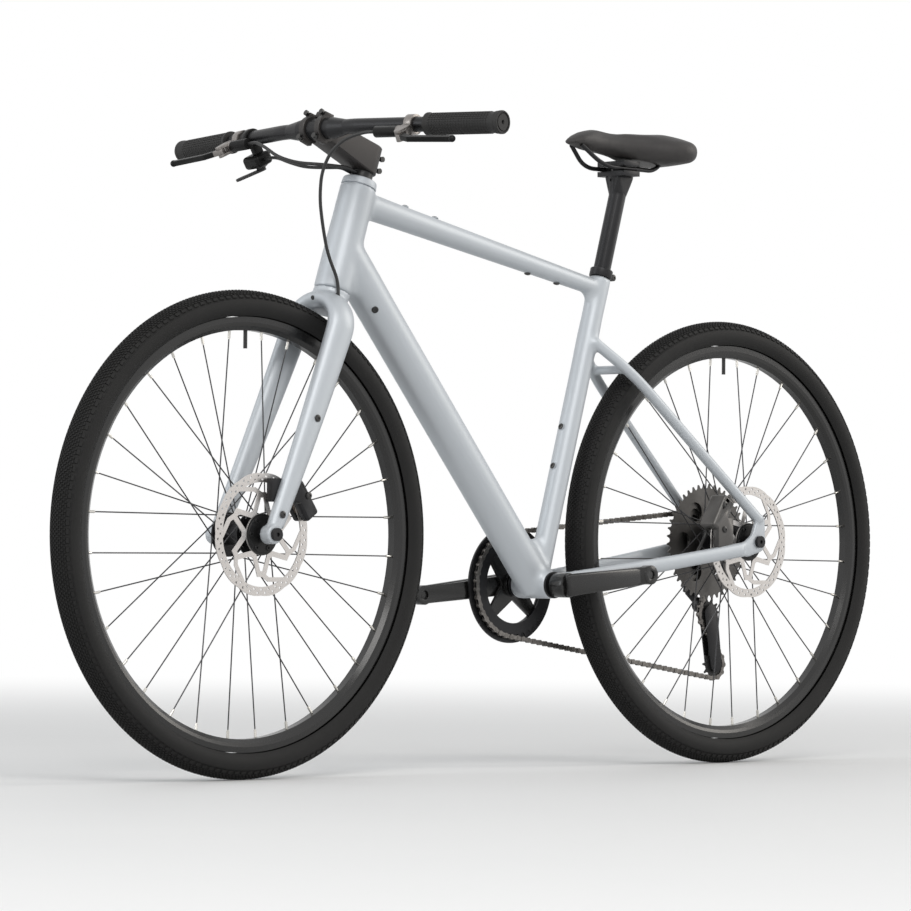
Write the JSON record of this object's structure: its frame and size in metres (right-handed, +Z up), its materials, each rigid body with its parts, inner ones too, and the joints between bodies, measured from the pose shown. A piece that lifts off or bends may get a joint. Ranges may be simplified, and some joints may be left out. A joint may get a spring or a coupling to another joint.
{
  "type": "hybrid bicycle",
  "caption": "Flat-bar hybrid bicycle with a metal frame, rigid fork, disc brakes, single chainring and a rear derailleur; no pedals fitted.",
  "frame": {"origin": "on the ground, midway between the two tyre contacts", "axes": "+X forward, +Y to the rider's left, +Z up"},
  "size_m": [1.7488, 0.7008, 0.9997],
  "materials": {
    "frame_paint": "satin metallic paint",
    "tyre_rubber": "matte",
    "rim_black": "gloss anodised",
    "spoke_steel": "dark drawn steel",
    "hub_black": "satin anodised",
    "rotor_steel": "brushed",
    "black_alloy": "satin anodised",
    "bright_steel": "polished",
    "chain_steel": "oiled",
    "ring_black": "satin",
    "black_plastic": "matte",
    "grip_rubber": "matte",
    "pad_compound": "sintered",
    "saddle_cover": "satin synthetic",
    "rail_steel": "satin"
  },
  "bodies": {
    "frame": {"head_tube": "frame_paint", "top_tube": "frame_paint", "down_tube": "frame_paint", "seat_tube": "frame_paint", "bottom_bracket_shell": "frame_paint", "frame_bosses": "bright_steel", "rear_dropouts": "frame_paint", "chain_stays": "frame_paint", "seat_stays": "frame_paint", "frame_bearings": "hub_black", "rear_axle": "hub_black", "seat_clamp": "black_alloy", "rear_caliper": "black_alloy", "chain": "chain_steel", "rear_lines": "black_plastic", "derailleur_mount": "black_alloy"},
    "fork_and_bar": {"fork_crown": "frame_paint", "fork_blades": "frame_paint", "front_axle": "hub_black", "headset_cover": "bright_steel", "stem": "black_alloy", "stem_faceplate": "black_alloy", "stem_bolts": "bright_steel", "handlebar": "black_alloy", "grips": "grip_rubber", "control_bodies": "black_alloy", "control_cables": "black_plastic", "front_caliper": "black_alloy"},
    "front_wheel": {"front_tyre": "tyre_rubber", "front_rim": "rim_black", "front_spokes": "spoke_steel", "front_hub": "hub_black", "front_rotor": "rotor_steel"},
    "rear_wheel": {"rear_tyre": "tyre_rubber", "rear_rim": "rim_black", "rear_spokes": "spoke_steel", "rear_hub": "hub_black", "rear_rotor": "rotor_steel"},
    "crankset": {"crank_spindle": "bright_steel", "crank_arm_left": "black_alloy", "crank_arm_right": "black_alloy", "chainring": "ring_black"},
    "cassette": {"cassette": "chain_steel"},
    "seatpost": {"seatpost": "black_alloy"},
    "saddle": {"saddle": "saddle_cover", "saddle_rails": "rail_steel"},
    "lever_left": {"brake_lever_left": "black_alloy"},
    "lever_right": {"brake_lever_right": "black_alloy"},
    "paddle_main": {"shift_paddle_main": "black_plastic"},
    "paddle_release": {"shift_paddle_release": "black_plastic"},
    "outer_link": {"derailleur_outer_link": "black_alloy"},
    "inner_link": {"derailleur_inner_link": "black_alloy"},
    "knuckle": {"derailleur_knuckle": "black_alloy"},
    "cage": {"derailleur_cage": "black_alloy"},
    "guide_pulley": {"guide_pulley": "black_plastic"},
    "tension_pulley": {"tension_pulley": "black_plastic"},
    "front_pad_outer": {"front_pad_outer": "pad_compound"},
    "front_pad_inner": {"front_pad_inner": "pad_compound"},
    "rear_pad_outer": {"rear_pad_outer": "pad_compound"},
    "rear_pad_inner": {"rear_pad_inner": "pad_compound"}
  },
  "joints": [
    {"name": "steering", "type": "hinge", "parent": "frame", "child": "fork_and_bar", "pos_m": [0.34739, 0, 0.71828], "axis": [-0.3123, 0, 0.95], "range_deg": [-70, 70]},
    {"name": "front_wheel_spin", "type": "hinge", "parent": "fork_and_bar", "child": "front_wheel", "pos_m": [0.5185, 0, 0.356], "axis": [0, 1, 0], "continuous": true},
    {"name": "rear_wheel_spin", "type": "hinge", "parent": "frame", "child": "rear_wheel", "pos_m": [-0.5185, 0, 0.356], "axis": [0, 1, 0], "continuous": true},
    {"name": "crank_spin", "type": "hinge", "parent": "frame", "child": "crankset", "pos_m": [-0.08933, 0, 0.285], "axis": [0, 1, 0], "continuous": true, "deforming": ["chain"]},
    {"name": "cassette_spin", "type": "hinge", "parent": "frame", "child": "cassette", "pos_m": [-0.5185, 0, 0.356], "axis": [0, 1, 0], "continuous": true},
    {"name": "seatpost_height", "type": "slide", "parent": "frame", "child": "seatpost", "axis": [-0.2756, 0, 0.9613], "range_m": [-0.06, 0.06]},
    {"name": "saddle_fore_aft", "type": "slide", "parent": "seatpost", "child": "saddle", "axis": [1, 0, 0], "range_m": [-0.015, 0.015]},
    {"name": "front_brake_lever", "type": "hinge", "parent": "fork_and_bar", "child": "lever_left", "pos_m": [0.39787, 0.19415, 0.93415], "axis": [0.452, 0.0946, 0.887], "range_deg": [0, 17], "stiffness_Nm_per_rad": 0.6, "springref_deg": -8.59},
    {"name": "rear_brake_lever", "type": "hinge", "parent": "fork_and_bar", "child": "lever_right", "pos_m": [0.39787, -0.19415, 0.93415], "axis": [-0.452, 0.0946, -0.887], "range_deg": [0, 17], "stiffness_Nm_per_rad": 0.6, "springref_deg": -8.59},
    {"name": "shift_main", "type": "hinge", "parent": "fork_and_bar", "child": "paddle_main", "pos_m": [0.35093, -0.15635, 0.91131], "axis": [0.452, -0.0946, 0.887], "range_deg": [0, 30], "stiffness_Nm_per_rad": 0.2, "springref_deg": -11.46},
    {"name": "shift_release", "type": "hinge", "parent": "fork_and_bar", "child": "paddle_release", "pos_m": [0.34921, -0.15599, 0.90794], "axis": [-0.452, 0.0946, -0.887], "range_deg": [0, 15], "stiffness_Nm_per_rad": 0.2, "springref_deg": -11.46},
    {"name": "derailleur_shift", "type": "hinge", "parent": "frame", "child": "outer_link", "pos_m": [-0.55257, -0.07928, 0.30989], "axis": [0.4869, 0.5878, 0.6461], "range_deg": [-30, 24], "deforming": ["chain"]},
    {"name": "inner_link_swing", "type": "hinge", "parent": "frame", "child": "inner_link", "pos_m": [-0.55893, -0.06472, 0.30144], "axis": [0.4869, 0.5878, 0.6461], "range_deg": [-30, 24]},
    {"name": "knuckle_swing", "type": "hinge", "parent": "outer_link", "child": "knuckle", "pos_m": [-0.52382, -0.07928, 0.28823], "axis": [0.4869, 0.5878, 0.6461], "range_deg": [-24, 30]},
    {"name": "cage_swing", "type": "hinge", "parent": "knuckle", "child": "cage", "pos_m": [-0.533, -0.049, 0.254], "axis": [0, 1, 0], "range_deg": [-25, 20], "stiffness_Nm_per_rad": 0.4, "deforming": ["chain"]},
    {"name": "guide_pulley_spin", "type": "hinge", "parent": "cage", "child": "guide_pulley", "pos_m": [-0.54, -0.049, 0.24], "axis": [0, 1, 0], "continuous": true},
    {"name": "tension_pulley_spin", "type": "hinge", "parent": "cage", "child": "tension_pulley", "pos_m": [-0.5527, -0.049, 0.15697], "axis": [0, 1, 0], "continuous": true},
    {"name": "front_pad_outer_slide", "type": "slide", "parent": "fork_and_bar", "child": "front_pad_outer", "axis": [0, -1, 0], "range_m": [0, 0.0002]},
    {"name": "front_pad_inner_slide", "type": "slide", "parent": "fork_and_bar", "child": "front_pad_inner", "axis": [0, 1, 0], "range_m": [0, 0.0002]},
    {"name": "rear_pad_outer_slide", "type": "slide", "parent": "frame", "child": "rear_pad_outer", "axis": [0, -1, 0], "range_m": [0, 0.0002]},
    {"name": "rear_pad_inner_slide", "type": "slide", "parent": "frame", "child": "rear_pad_inner", "axis": [0, 1, 0], "range_m": [0, 0.0002]}
  ],
  "couplings": [
    {"joint": "cassette_spin", "follows": "crank_spin", "ratio": 1.6},
    {"joint": "guide_pulley_spin", "follows": "crank_spin", "ratio": -3.6364},
    {"joint": "tension_pulley_spin", "follows": "crank_spin", "ratio": 3.6364},
    {"joint": "inner_link_swing", "follows": "derailleur_shift", "ratio": 1},
    {"joint": "knuckle_swing", "follows": "derailleur_shift", "ratio": -1},
    {"joint": "front_pad_outer_slide", "follows": "front_brake_lever", "m_per_rad": 0.00067},
    {"joint": "front_pad_inner_slide", "follows": "front_brake_lever", "m_per_rad": 0.00067},
    {"joint": "rear_pad_outer_slide", "follows": "rear_brake_lever", "m_per_rad": 0.00067},
    {"joint": "rear_pad_inner_slide", "follows": "rear_brake_lever", "m_per_rad": 0.00067}
  ]
}
